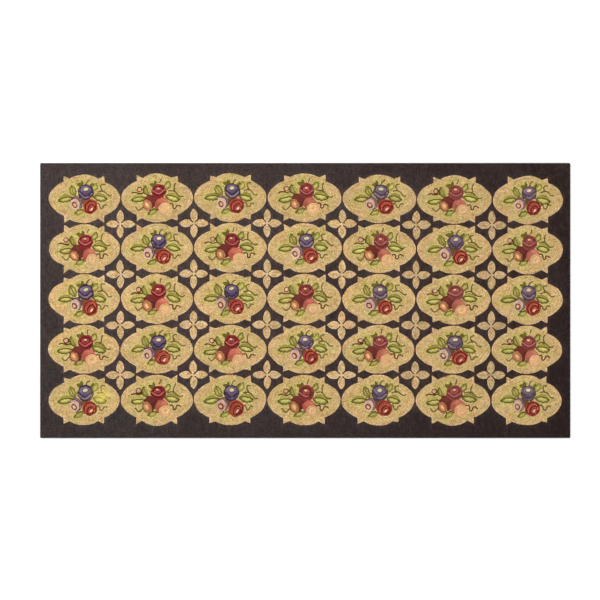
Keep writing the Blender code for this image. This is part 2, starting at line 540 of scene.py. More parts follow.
def strip_casts(count, yarn, rng):
    """What a row's loops are multiplied by: each strip of three to nine loops has its own dye."""
    lengths = rng.integers(3, 10, count // 3 + 1)
    lighter = np.array([RED_LIGHT, GREEN_LIGHT, yarn.blue])
    strips = rng.normal(0, yarn.strip, (len(lengths), 1)) * lighter
    strips = strips + rng.normal(0, yarn.cast, (len(lengths), 1)) * WARM
    strips = strips + rng.normal(0, yarn.cast, (len(lengths), 1)) * GREEN
    strips = np.repeat(strips, lengths, axis=0)[:count]
    return 1 + strips + rng.normal(0, yarn.grain, (count, 1)) * lighter


def hooked(places, heading, yarn, paint, depth, rng):
    """Loops of one yarn at these places, which are so many rows deep in their shape."""
    count = len(places)
    colour = paint(*places.T, depth) * strip_casts(count, yarn, rng)
    long, wide = np.full(count, yarn.spacing), np.full(count, yarn.pitch)
    return Loops(*places.T, heading, long, wide, colour)


def hooked_rows(grid, field, yarn, paint, rng):
    """Rows of one yarn that fill a shape from its outline inwards."""
    return [hooked(*resampled(path, yarn.spacing), yarn, paint, depth, rng)
            for path, depth in grid.rows(field, yarn.pitch)]


def hooked_between(grid, inside, parts, yarn, paint, rng, heading=None):
    """Loops on bare places among the others, all of one heading or each of its own."""
    places = grid.bare_places(inside, parts, yarn)
    count = len(places)
    headings = rng.uniform(0, np.pi, count) if heading is None else np.full(count, heading)
    return hooked(places, headings, yarn, paint, INNER, rng)


class Grid:
    """A regular grid over a rectangle, on which fields are worked out."""
    END = 1.001  # steps that keep a place short of the last point

    def __init__(self, low, high, step):
        self.low, self.step = np.array(low, float), step
        counts = np.ceil((np.array(high) - self.low) / step).astype(int) + 1
        self.shape = counts[1], counts[0]
        self.x, self.y = np.meshgrid(self.low[0] + step * np.arange(counts[0]),
                                     self.low[1] + step * np.arange(counts[1]))

    def rows(self, field, pitch):
        """Rows of a shape from its outline inwards: each a path and how many rows deep it is."""
        found = []
        level, depth = -pitch / 2, 0
        while level > field.min():
            for path in level_paths(field, level):
                found.append((self.low + self.step * path, depth + OUTERMOST))
            level, depth = level - pitch, depth + 1
        return found

    def value(self, field, x, y):
        """The field at places between the grid's points."""
        u = np.clip((x - self.low[0]) / self.step, 0, self.shape[1] - self.END)
        v = np.clip((y - self.low[1]) / self.step, 0, self.shape[0] - self.END)
        i, j = u.astype(int), v.astype(int)
        return between(lambda a, b: field[b, a], i, j, u - i, v - j)

    def bare_places(self, inside, parts, yarn):
        """Places inside that no loop is near enough to cover."""
        covered = ~inside
        loops = gathered(parts)
        i = np.round((loops.x - self.low[0]) / self.step).astype(int)
        j = np.round((loops.y - self.low[1]) / self.step).astype(int)
        reach = BARE_REACH * yarn.pitch
        steps = int(reach / self.step)
        for dy in range(-steps, steps + 1):
            for dx in range(-steps, steps + 1):
                if math.hypot(dx, dy) * self.step <= reach:
                    covered[np.clip(j + dy, 0, self.shape[0] - 1),
                            np.clip(i + dx, 0, self.shape[1] - 1)] = True
        rows, columns = np.nonzero(~covered)
        x, y = self.x[rows, columns], self.y[rows, columns]
        picked = spaced(x, y, BARE_GAP * yarn.pitch)
        return np.stack([x[picked], y[picked]], 1)


def widest_near(values, steps):
    """The largest value within some steps of each of a grid's points."""
    for axis in (0, 1):
        moved = [np.roll(values, step, axis) for step in range(-steps, steps + 1)]
        values = np.max(moved, axis=0)
    return values


def spaced(x, y, gap, taken=None):
    """Picks places in turn, leaving out each that is nearer than the gap to one picked before."""
    cells = {} if taken is None else taken
    picked = []
    for index, (px, py) in enumerate(zip(x.tolist(), y.tolist())):
        cx, cy = int(px // gap), int(py // gap)
        near = (other for ox in (cx - 1, cx, cx + 1) for oy in (cy - 1, cy, cy + 1)
                for other in cells.get((ox, oy), ()))
        if all((px - qx) ** 2 + (py - qy) ** 2 >= gap * gap for qx, qy in near):
            cells.setdefault((cx, cy), []).append((px, py))
            picked.append(index)
    return np.array(picked, int)


# The drawings of the medallions and flowers, in millimetres about their middles

Shape = namedtuple("Shape", "field paint path green")


def ring_shape(ring, wool, rng):
    """A ring of a rose: one row of its edge, and a body shaded from one side to the other."""
    phase = rng.uniform(0, 2 * math.pi, 2)

    def field(x, y):
        along, across = turned(x - ring.x, y - ring.y, ring.turn)
        angle = np.arctan2(across, along)
        reach = 1 + LOBE_DEPTH * np.cos(LOBES * angle + phase[0])
        return oval_field(along, across, ring.wide, ring.high, reach=reach)

    def paint(x, y, depth):
        angle = np.arctan2(y - ring.y, x - ring.x)
        lit = 0.5 + 0.5 * np.cos(angle - math.radians(ring.light))
        body = mixed(wool[ring.shade], wool[ring.fill], lit)
        body = body * (1 + PETAL_SHADE * np.sin(PETAL_SHADES * angle + phase[1]))[:, None]
        return mixed(np.broadcast_to(wool[ring.edge], body.shape), body, depth > 1)

    return Shape(field, paint, None, False)


def leaf_shapes(leaf, wool):
    """A leaf's blade and, where it has two sides, the row of its rib."""
    half = leaf.length / 2

    def placed(x, y):
        along, across = turned(x - leaf.x, y - leaf.y, leaf.heading)
        along = along - half
        across = across - leaf.bend * (1 - (along / half) ** 2)
        return along, across + LEAF_WAVE * np.sin(along * 2 * np.pi / LEAF_WAVE_LENGTH)

    def field(x, y):
        along, across = placed(x, y)
        return pointed_oval_field(along, across, half, leaf.width / 2)

    def paint(x, y, depth):
        far = placed(x, y)[1] * leaf.side > RIB_SHIFT * leaf.width
        blade = mixed(wool[leaf.near], wool[leaf.far], far)
        rim = mixed(wool[leaf.rim], blade, FAR_RIM * far)
        rows = -field(x, y) / FLOWER.pitch
        return mixed(rim, blade, np.clip(RIM_FADE * (rows - 0.5), 0, 1))

    shapes = [Shape(field, paint, None, True)]
    if leaf.rib:
        along = np.linspace(RIB_START, RIB_END, RIB_POINTS) * leaf.length
        bow = 1 - (along / half - 1) ** 2
        across = (leaf.bend + RIB_SHIFT * leaf.side * leaf.width) * bow
        across = across - LEAF_WAVE * np.sin((along - half) * 2 * np.pi / LEAF_WAVE_LENGTH)
        angle = math.radians(leaf.heading)
        path = np.stack([leaf.x + along * math.cos(angle) - across * math.sin(angle),
                         leaf.y + along * math.sin(angle) + across * math.cos(angle)], 1)
        shapes.append(row_shape(path, wool[leaf.rib]))
    return shapes


def row_shape(path, colour):
    """One row along a path."""
    def field(x, y):
        return path_field(x, y, path) - TENDRIL.pitch / 2

    def paint(x, y, depth):
        return np.broadcast_to(colour, (len(x), 3))

    return Shape(field, paint, path, False)


def tendril_path(tendril, steps=28):
    """A path whose heading bends steadily and swings to and fro."""
    share = (np.arange(steps) + 0.5) / steps
    swing = tendril.swing * np.cos(2 * np.pi * tendril.waves * share)
    heading = np.radians(tendril.heading + tendril.bend * share + swing)
    step = tendril.length / steps
    x = tendril.x + np.concatenate([[0], np.cumsum(step * np.cos(heading))])
    y = tendril.y + np.concatenate([[0], np.cumsum(step * np.sin(heading))])
    return np.stack([x, y], 1)


def unlike(item, rng, shift=2.0, turn=4.0, grow=0.05):
    """A ring, leaf or tendril as it comes out this time: a little moved, turned and resized."""
    changed = {"x": item.x + rng.uniform(-shift, shift), "y": item.y + rng.uniform(-shift, shift)}
    for name in ("wide", "high", "length", "width"):
        if hasattr(item, name):
            changed[name] = getattr(item, name) * (1 + rng.uniform(-grow, grow))
    for name in ("heading", "turn"):
        if hasattr(item, name):
            changed[name] = getattr(item, name) + rng.uniform(-turn, turn)
    return item._replace(**changed)


def bouquet_shapes(bouquet, wool, rng):
    """All shapes of a bouquet, from the lowest to the topmost."""
    shapes = []
    for tendril in bouquet.tendrils:
        drawn = unlike(tendril, rng, turn=TENDRIL_TURN)
        shapes.append(row_shape(tendril_path(drawn), wool[drawn.colour]))
    for leaf in bouquet.leaves:
        shapes += leaf_shapes(unlike(leaf, rng), wool)
    for ring in bouquet.rings:
        shapes.append(ring_shape(unlike(ring, rng, shift=1.0, grow=0.04), wool, rng))
    for petal in bouquet.petals:
        drawn = unlike(petal, rng, shift=1.0)
        shapes.append(row_shape(tendril_path(drawn), wool[drawn.colour]))
    return shapes


def shape_loops(grid, shape, shown, rng):
    """The loops of one shape: rows inside what its field leaves of it, or one row along its path."""
    dye = rng.normal(1, DYE_LIGHT) + rng.normal(0, DYE_HUE, 3)
    paint = lambda x, y, depth: shape.paint(x, y, depth) * dye
    if shape.path is None:
        parts = hooked_rows(grid, shown, FLOWER, paint, rng)
        if not parts:
            return parts
        inside = shown < -SHAPE_INSIDE * FLOWER.pitch
        return [*parts, hooked_between(grid, inside, parts, FLOWER, paint, rng, heading=0.0)]
    places, heading = resampled(shape.path, TENDRIL.spacing)
    seen = grid.value(shown, *places.T) < -ROW_INSIDE * TENDRIL.pitch
    return [hooked(places[seen], heading[seen], TENDRIL, paint, OUTERMOST, rng)]


def medallion_loops(bouquet, outline, wool, dye, seed):
    """Every loop of one medallion, in millimetres about its middle. Its dye is painted light on the
    cream ground, as the light falls on its row.
    """
    rng = np.random.default_rng(seed)
    reach = np.array([CELL_WIDE / 2 + MEDALLION_MARGIN, CELL_HIGH / 2 + MEDALLION_MARGIN])
    grid = Grid(-reach, reach, MEDALLION_STEP)
    shapes = bouquet_shapes(bouquet, wool, rng)
    above = np.full(grid.shape, np.inf)
    green = np.full(grid.shape, np.inf)
    parts = []
    for shape in reversed(shapes):
        field = shape.field(grid.x, grid.y)
        shown = np.maximum(field, -above)
        if (shown < -SHAPE_INSIDE * FLOWER.pitch).any():
            parts += shape_loops(grid, shape, shown, rng)
        above = np.minimum(above, field)
        if shape.green:
            green = np.minimum(green, field)

    ground = np.maximum(outline(grid.x, grid.y), -above)
    tone = cream_tone(seed, "cream")

    def paint(x, y, depth):
        halo = np.exp(-grid.value(green, x, y) / HALO_REACH) * np.where(x < 0, HALO_LEFT, HALO_RIGHT)
        halo = halo + GLOW * np.exp(-grid.value(above, x, y) / GLOW_REACH)
        # dye is the row's painted light: the cream is taken darker or lighter as the light falls on
        # that row
        return mixed(dye * tone(x, y, depth), WOOL["halo"], np.clip(halo, 0, HALO_MOST))

    parts += hooked_rows(grid, ground, CREAM, paint, rng)
    inside = ground < -CREAM_INSIDE * CREAM.pitch
    parts.append(hooked_between(grid, inside, parts, CREAM, paint, rng))
    return gathered(parts)


def cream_tone(seed, base):
    """A cream ground: a tweed of golden, greenish and pinkish wools, and a paler outermost row."""
    noises = [SoftNoise(seed + 10 + k, TWEED_PATCH) for k in range(len(CREAM_TWEED))]
    broad = SoftNoise(seed + 20, BROAD_PATCH)

    def tone(x, y, depth):
        colour = WOOL[base]
        for tweed, noise in zip(CREAM_TWEED, noises):
            share = np.clip(tweed.even + tweed.patchy * noise(x, y), 0, 1)
            colour = mixed(colour, WOOL[tweed.wool], share)
        colour = mixed(colour, WOOL["oat"], PALE_ROW * (depth < 1))
        light = 1 + BROAD_LIGHT * broad(x, y) + TWEED_LIGHT * noises[0](-x, y)
        return colour * light[:, None]

    return tone


def flower_loops(outline, seed, dye):
    """The cream petals of one flower and the brown rows between them, in millimetres."""
    rng = np.random.default_rng(seed)
    reach = PETAL_TIP + FLOWER_MARGIN
    grid = Grid((-reach, -reach), (reach, reach), FLOWER_STEP)
    field = outline(grid.x, grid.y)
    cream = cream_tone(seed, "flower_cream")
    # dye is how light this column's cream is
    tone = lambda x, y, depth: dye * cream(x, y, depth)
    brown = lambda x, y, depth: np.broadcast_to(WOOL["slit"], (len(x), 3))
    parts = hooked_rows(grid, field, CREAM, tone, rng)
    for quarter in range(4):
        angle = math.radians(45 + 90 * quarter)
        ray = np.array([(math.cos(angle), math.sin(angle))])
        row = np.array([[SLIT_START], [SLIT_END]]) * ray
        parts.append(hooked(*resampled(row, FLOWER.spacing), FLOWER, brown, OUTERMOST, rng))
    inside = field < -PETAL_INSIDE * CREAM.pitch
    parts.append(hooked_between(grid, inside, parts, CREAM, tone, rng, heading=0.0))
    return gathered(parts)


def stained(loops):
    """Loops of a medallion with the spilt yellow stain over its right part."""
    along = (loops.x - STAIN_MIDDLE[0]) / STAIN_HALF_SIZE[0]
    across = (loops.y - STAIN_MIDDLE[1]) / STAIN_HALF_SIZE[1]
    strength = np.exp(-along ** 2 - across ** 2)
    patchy = STAIN_EVEN + STAIN_PATCHY * SoftNoise(STAIN_SEED, STAIN_PATCH)(loops.x, loops.y)
    share = np.clip(STAIN_STRENGTH * strength * patchy, 0, STAIN_MOST)
    return loops._replace(colour=mixed(loops.colour, WOOL["stain"], share))


# Placing on the rug

Place = namedtuple("Place", "x y wide high")
Cell = namedtuple("Cell", "row column place outline sway reach seed")
WHOLE_RUG = Place(0.0, 0.0, 1.0, 1.0)
CORNER_SIDES = np.array([(1, 1), (-1, 1), (-1, -1), (1, -1)])  # a rectangle's corners in turn


class Sway:
    """The unevenness of hand drawing: it moves each place a little, neighbours alike."""

    def __init__(self, seed, size, scale):
        self.size = size
        self.along, self.across = SoftNoise(seed, scale), SoftNoise(seed + 1, scale)

    def __call__(self, x, y, size=None):
        size = self.size if size is None else size
        return x + size * self.along(x, y), y + size * self.across(x, y)

    def undone(self, x, y):
        return self(x, y, -self.size)


WHOLE_SWAY = Sway(SWAY_SEED, *RUG_SWAY)


def column_edge(index, y):
    """Where a column's edge lies at this height, in millimetres from the rug's middle."""
    share = (ROW_EDGES[0] - y) / (ROW_EDGES[0] - ROW_EDGES[-1])
    return COLUMN_EDGES[index] + COLUMN_LEAN[index] * share


def row_edge(index, column):
    """Where a row's edge lies in this column."""
    return ROW_EDGES[index] + ROW_RISE[column] * (1 - index / ROWS)


def medallion_place(row, column):
    """Middle of one medallion, and its size against the drawn one."""
    top, bottom = row_edge(row, column), row_edge(row + 1, column)
    y = (top + bottom) / 2
    left, right = column_edge(column, y), column_edge(column + 1, y)
    return Place((left + right) / 2, y, (right - left) / CELL_WIDE, (top - bottom) / CELL_HIGH)


def flower_place(row, column):
    """Middle of the four-petal flower at the lower right corner of a medallion."""
    y = (row_edge(row + 1, column) + row_edge(row + 1, column + 1)) / 2
    return Place(column_edge(column + 1, y) + FLOWER_SHIFT[0], y + FLOWER_SHIFT[1], 1.0, 1.0)


def cells(rows, columns, first_seed, place, outline, sway, reach):
    """One kind of drawing in every row and column of the lattice."""
    for row in range(rows):
        for column in range(columns):
            seed = first_seed + 100 * (row * COLUMNS + column)
            yield Cell(row, column, place(row, column), outline(seed + 5), Sway(seed + 6, *sway),
                       reach, seed)


def medallion_cells():
    """Every medallion of the rug."""
    reach = CELL_WIDE / 2 + MEDALLION_AROUND, CELL_HIGH / 2 + MEDALLION_AROUND
    return cells(ROWS, COLUMNS, MEDALLION_SEED, medallion_place, medallion_outline,
                 MEDALLION_SWAY, reach)


def flower_cells():
    """Every four-petal flower of the rug."""
    reach = PETAL_TIP + FLOWER_AROUND, PETAL_TIP + FLOWER_AROUND
    return cells(ROWS - 1, COLUMNS - 1, FLOWER_SEED, flower_place, flower_outline,
                 FLOWER_SWAY, reach)


def placed_loops(loops, place, sway=None):
    """Loops of a drawing in millimetres, where they lie on the rug, in metres."""
    x, y = loops.x, loops.y
    if sway:
        x, y = sway(x, y)
        x, y = WHOLE_SWAY(place.x + x * place.wide, place.y + y * place.high)
    heading = np.arctan2(np.sin(loops.heading) * place.high, np.cos(loops.heading) * place.wide)
    return loops._replace(x=x * MM, y=y * MM, heading=heading,
                          long=loops.long * MM, wide=loops.wide * MM)


def rounded_frame(half_x, half_y, radius, steps=6):
    """A closed path along a rectangle with round corners."""
    points = []
    for quarter, (sx, sy) in enumerate(CORNER_SIDES):
        for step in range(steps + 1):
            angle = math.pi / 2 * (quarter + step / steps)
            points.append((sx * (half_x - radius) + radius * math.cos(angle),
                           sy * (half_y - radius) + radius * math.sin(angle)))
    return np.array(points + points[:1])


class DarkGround:
    """The dark ground: rows round each medallion and flower, along the edges, and straight ones."""

    def __init__(self):
        self.half = RUG_SIZE[:2] / 2 / MM
        self.grid = Grid(-self.half, self.half, GROUND_STEP)
        self.outside = np.full(self.grid.shape, FAR_OFF)
        scales = [*(fleck.patch for fleck in FLECKS), BROWN_PATCH]
        self.noise = [SoftNoise(GROUND_SEED + k, scale) for k, scale in enumerate(scales)]
        self.rng = np.random.default_rng(GROUND_SEED + 90)
        self.taken, self.parts = {}, []

    def surround(self, cell):
        """Notes how far the ground is from a cell's outline, and gives the paths just outside."""
        grid, place = self.grid, cell.place
        spans = []
        for axis, middle in enumerate((place.x, place.y)):
            ends = middle + np.array([-1, 1]) * cell.reach[axis] - grid.low[axis]
            first, last = np.clip(ends / grid.step, 0, grid.shape[1 - axis]).astype(int)
            spans.append(slice(first, last))
        window = spans[1], spans[0]
        x, y = WHOLE_SWAY.undone(grid.x[window], grid.y[window])
        x, y = (x - place.x) / place.wide, (y - place.y) / place.high
        field = cell.outline(*cell.sway.undone(x, y))
        self.outside[window] = np.minimum(self.outside[window], field)
        corner = np.array([grid.x[window][0, 0], grid.y[window][0, 0]])
        return [corner + grid.step * path for path in level_paths(field, DARK_LINE / 2)]

    def tone(self, x, y, depth):
        """Charcoal wool, greyer at the left and browner at the right, with other darks in it."""
        *noises, broad = (noise(x, y) for noise in self.noise)
        along, up = x / self.half[0], y / self.half[1]
        right = np.clip(0.5 + 0.5 * along + BROWN_PATCHY * broad, 0, 1)
        widest = self.grid.value(self.widest, x, y)
        among = np.clip(AMONG_START - widest / AMONG_ROOM, 0, 1)
        colour = mixed(WOOL["charcoal"], WOOL["umber"], right)
        for fleck, noise in zip(FLECKS, noises):
            share = (fleck.most - fleck.less * right) * noise + fleck.among * among
            colour = mixed(colour, WOOL[fleck.wool], np.clip(share, 0, 1))
        blotches = BLOTCHY + BLOTCHY_AMONG * among + BLOTCHY_RIGHT * right
        blotches = blotches * self.noise[1](y, x)
        middle = MIDDLE_LIGHTER * np.cos(math.pi / 2 * (along + MIDDLE_SHIFT)) + ENDS_LIGHTER
        light = 1 + TOP_LIGHTER * up + AMONG_LIGHTER * among + blotches + middle
        return mixed(colour * light[:, None], WOOL["rust_line"], widest < LINE_ROOM)

    def hook(self, path, least_room, yarn=DARK):
        """Hooks a row along a path where there is room for it, counted in rows."""
        places, heading = resampled(path, DARK.spacing)
        if len(places):
            free = self.grid.value(self.room, *places.T) > least_room * DARK.pitch
            places, heading = places[free], heading[free]
            picked = spaced(*places.T, DARK_GAP * DARK.spacing, self.taken)
            self.parts.append(hooked(places[picked], heading[picked], yarn, self.tone, OUTERMOST,
                                     self.rng))

    def loops(self):
        """Every loop of the ground, in metres."""
        drawn = [*medallion_cells(), *flower_cells()]
        outlines = [path for cell in drawn for path in self.surround(cell)]
        edge = np.minimum(self.half[0] - np.abs(self.grid.x), self.half[1] - np.abs(self.grid.y))
        self.room = np.minimum(self.outside, edge)
        self.widest = widest_near(self.outside, steps=5)
        for k in range(EDGE_ROWS):
            inset = (k + 0.5) * DARK.pitch + EDGE_INSET
            radius = max(CORNER_RADIUS / MM - inset, 1.0)
            self.hook(rounded_frame(*(self.half - inset), radius), EDGE_ROOM)
        for path in outlines:
            self.hook(path, AROUND_ROOM, DARK_AMONG)
        for x in np.arange(-self.half[0] + DARK.pitch / 2, self.half[0], DARK.pitch):
            self.hook(np.array([(x, -self.half[1]), (x, self.half[1])]), STRAIGHT_ROOM)
        inside = self.room > FILL_ROOM * DARK.pitch
        self.parts.append(hooked_between(self.grid, inside, self.parts, DARK, self.tone, self.rng,
                                         heading=np.pi / 2))
        return placed_loops(gathered(self.parts), WHOLE_RUG)


# Meshes


def add_object(name, mesh):
    """An object for this mesh, linked to the scene."""
    piece = bpy.data.objects.new(name, mesh)
    bpy.context.scene.collection.objects.link(piece)
    return piece


def pile_piece(name, groups, columns, material, seed):
    """One mesh of many loops, each a small dome. Its groups share its map as equal tiles."""
    loops = gathered(groups)
    count = len(loops.x)
    rng = np.random.default_rng(seed)
    size = SPREAD * (1 + rng.normal(0, SPREAD_UNEVEN, count))
    c, s = np.cos(loops.heading), np.sin(loops.heading)
    along = CORNER_SIDES[:, 0] * (loops.long * size)[:, None]
    across = CORNER_SIDES[:, 1] * (loops.wide * size)[:, None]
    points = np.empty((count, 5, 3))
    points[:, :4, 0] = loops.x[:, None] + along * c[:, None] - across * s[:, None]
    points[:, :4, 1] = loops.y[:, None] + along * s[:, None] + across * c[:, None]
    points[:, :4, 2] = LOOP_FOOT
    points[:, 4, 0] = loops.x + rng.normal(0, CROWN_STRAY, count) * loops.long
    points[:, 4, 1] = loops.y + rng.normal(0, CROWN_STRAY, count) * loops.wide
    points[:, 4, 2] = LOOP_CROWN + rng.uniform(-1, 1, count) * CROWN_UNEVEN
    plan = points[:, :, :2].copy()
    rim_feet = hug_rim(points)

    corner = 5 * np.arange(count)[:, None, None]
    faces = corner + np.array([(0, 1, 4), (1, 2, 4), (2, 3, 4), (3, 0, 4)])
    mesh = bpy.data.meshes.new(name)
    mesh.from_pydata(points.reshape(-1, 3), [], faces.reshape(-1, 3))
    mesh.shade_smooth()
    # Painted shade at each loop's feet and painted light at its crown; the feet over the hem get
    # deeper painted shade
    shading = np.array([FOOT_PAINTED_SHADE] * 4 + [CROWN_PAINTED_LIGHT])
    shading = np.where(rim_feet, RIM_PAINTED_SHADE, shading)
    paint_points(mesh, (loops.colour[:, None, :] * shading[:, :, None]).reshape(-1, 3))
    tile_map(mesh, plan, groups, columns)
    mesh.materials.append(material)
    return add_object(name, mesh)


def hug_rim(points):
    """Keeps loops within the rug's outline, leans the outermost ones over the hem, and says which
    points are their feet."""
    straight = RUG_SIZE[:2] / 2 - CORNER_RADIUS
    plan = points[:, :, :2].copy()
    beyond = np.maximum(np.abs(plan) - straight, 0)
    reach = np.hypot(beyond[..., 0], beyond[..., 1])
    feet = reach > CORNER_RADIUS - RIM_REACH
    feet[:, 4] = False
    leaning = reach[:, 4] > CORNER_RADIUS - RIM_LEAN
    wanted = np.minimum(reach, CORNER_RADIUS)
    wanted[leaning, 4] = CORNER_RADIUS - RIM_BULGE
    beyond *= (wanted / np.maximum(reach, 0.001 * MM))[..., None]
    points[:, :, :2] = np.sign(plan) * (np.minimum(np.abs(plan), straight) + beyond)
    points[leaning, 4, 2] -= RIM_DROP
    points[:, :, 2][feet] = RIM_FOOT
    return feet


def paint_points(mesh, colours):
    """Each point's colour: its wool's, with painted shade at the feet and painted light at the
    crown.
    """
    layer = mesh.color_attributes.new("wool", "FLOAT_COLOR", "POINT")
    values = np.ones((len(colours), 4), np.float32)
    values[:, :3] = np.clip(colours, 0, 1)
    layer.data.foreach_set("color", values.ravel())


def tile_map(mesh, plan, groups, columns):
    """A map in equal tiles, one for each group as seen from above, in which no loops overlap."""
    rows = math.ceil(len(groups) / columns)
    middle = plan.mean(axis=1, keepdims=True)
    plan = middle + MAP_SHRINK * (plan - middle)
    start = 0
    for index, group in enumerate(groups):
        stop = start + len(group.x)
        tile = plan[start:stop]
        low = tile.min(axis=(0, 1)) - MAP_MARGIN
        high = tile.max(axis=(0, 1)) + MAP_MARGIN
        corner = np.array([index % columns, index // columns])
        plan[start:stop] = (corner + (tile - low) / (high - low)) / (columns, rows)
        start = stop
    corners = np.empty(len(mesh.loops), np.int32)
    mesh.loops.foreach_get("vertex_index", corners)
    layer = mesh.uv_layers.new(name="OFBake")
    layer.uv.foreach_set("vector", plan.reshape(-1, 2)[corners].astype(np.float32).ravel())


def cloth_piece(name, material):
    """The ground cloth with the feet of the loops: one closed flat sheet with a rounded rim."""
    bpy.ops.mesh.primitive_cube_add(size=1.0)
    cloth = bpy.context.object
    cloth.name = name
    cloth.data.name = name
    cloth.dimensions = (RUG_SIZE[0] - 2 * HEM_INSET, RUG_SIZE[1] - 2 * HEM_INSET, CLOTH_TOP)
    cloth.location = (0.0, 0.0, CLOTH_TOP / 2)
    bpy.ops.object.transform_apply(location=True, rotation=True, scale=True)
    bevel = cloth.modifiers.new("rim", "BEVEL")
    bevel.width = HEM_ROUND
    bevel.segments = 3
    bpy.ops.object.modifier_apply(modifier=bevel.name)
    cloth.data.materials.append(material)
    return cloth


# Materials

BUMP_HEIGHT = 0.4 * MM
# Scales of the wave textures for the jute's threads and for the rows of the strips' backs
THREAD_SCALE, BACKS_SCALE = 90.0, 1 / (6.3 * DARK.pitch * MM)
BACKS_NARROW = 0.4  # the lower, the wider the backs are against the gaps between them
FACING_DOWN = -0.9  # the highest upward part of a normal that belongs to the underside
# The bouquet as the backs show it, in millimetres from a medallion's middle
Patch = namedtuple("Patch", "x y radius even odd")
BACK_ROSES = [Patch(8, 36, 40, "violet", "crimson"), Patch(-42, -26, 34, "lilac", "brick"),
              Patch(33, -42, 40, "red", "salmon")]
BACK_LEAVES, BACK_LEAF_SIZE = 88, (42, 20)
BACKS_SHARP = 8.0  # how sharp the edges of its patches are


def set_or_link(tree, socket, value):
    """Feeds a socket with a constant or with another node's output."""
    if isinstance(value, bpy.types.NodeSocket):
        tree.links.new(value, socket)
    else:
        socket.default_value = value


def feed(tree, node, **values):
    """Feeds a node's inputs by name, with an underscore for each space in it."""
    for name, value in values.items():
        set_or_link(tree, node.inputs[name.replace("_", " ")], value)


def new_node(tree, kind, **values):
    """A new node of this kind, with its inputs fed."""
    node = tree.nodes.new("ShaderNode" + kind)
    feed(tree, node, **values)
    return node


def math_node(tree, operation, *values):
    """The result of one operation on numbers or sockets."""
    node = new_node(tree, "Math")
    node.operation = operation
    for socket, value in zip(node.inputs, values):
        set_or_link(tree, socket, value)
    return node.outputs["Value"]


def mix_node(tree, share, first, second):
    """A blend of two colours, from the first at share 0 to the second at share 1."""
    node = new_node(tree, "Mix")
    node.data_type = "RGBA"
    feed(tree, node, Factor=share, A=first, B=second)
    return node.outputs["Result"]


def node_colour(name):
    """A wool of the palette as a node takes it."""
    return (*WOOL[name], 1.0)


def new_material(name, roughness):
    """A material with its nodes and its shader, and one plain roughness to start with."""
    material = bpy.data.materials.new(name)
    material.use_nodes = True
    tree = material.node_tree
    shader = tree.nodes["Principled BSDF"]
    feed(tree, shader, Roughness=roughness, Metallic=0.0, Specular_IOR_Level=0.15)
    return material, tree, shader


def add_bump(tree, shader, height, strength):
    """Roughens the shader's surface by this height."""
    bump = new_node(tree, "Bump", Strength=strength, Distance=BUMP_HEIGHT, Height=height)
    feed(tree, shader, Normal=bump.outputs["Normal"])


def wool_material():
    """Hooked wool: each loop's own colour, with fine fibres and a soft sheen."""
    material, tree, shader = new_material("wool_pile", 0.9)
    wool = new_node(tree, "Attribute")
    wool.attribute_name = "wool"
    where = new_node(tree, "TexCoord").outputs["Object"]
    fibre = new_node(tree, "TexNoise", Scale=1100.0, Detail=2.0, Vector=where).outputs["Fac"]
    worn = new_node(tree, "MapRange", To_Min=0.76, To_Max=1.24, Value=fibre)
    rough = new_node(tree, "MapRange", To_Min=0.82, To_Max=1.0, Value=fibre)
    colour = new_node(tree, "VectorMath")
    colour.operation = "SCALE"
    feed(tree, colour, Vector=wool.outputs["Color"], Scale=worn.outputs["Result"])
    feed(tree, shader, Base_Color=colour.outputs["Vector"], Roughness=rough.outputs["Result"],
         Sheen_Weight=0.06, Sheen_Roughness=0.5)
    add_bump(tree, shader, fibre, 0.35)
    return material


def oval_mask(tree, x, y, middle, half_size):
    """One inside an oval, with a soft edge, and nothing outside."""
    across = [math_node(tree, "DIVIDE", math_node(tree, "SUBTRACT", value, centre), half)
              for value, centre, half in zip((x, y), middle, half_size)]
    squares = [math_node(tree, "MULTIPLY", value, value) for value in across]
    inside = math_node(tree, "SUBTRACT", 1.0, math_node(tree, "ADD", *squares))
    steep = math_node(tree, "MULTIPLY", inside, BACKS_SHARP)
    return math_node(tree, "MINIMUM", math_node(tree, "MAXIMUM", steep, 0.0), 1.0)


def cell_axis(tree, value, first, size, count):
    """How far a place is from its cell's middle, the cell's number, and whether it has one."""
    cells = math_node(tree, "DIVIDE", math_node(tree, "SUBTRACT", value, first), size)
    number = math_node(tree, "FLOOR", cells)
    offset = math_node(tree, "SUBTRACT", math_node(tree, "SUBTRACT", cells, number), 0.5)
    middle = math_node(tree, "ABSOLUTE", math_node(tree, "SUBTRACT", cells, count / 2))
    return (math_node(tree, "MULTIPLY", offset, size), number,
            math_node(tree, "LESS_THAN", middle, count / 2))


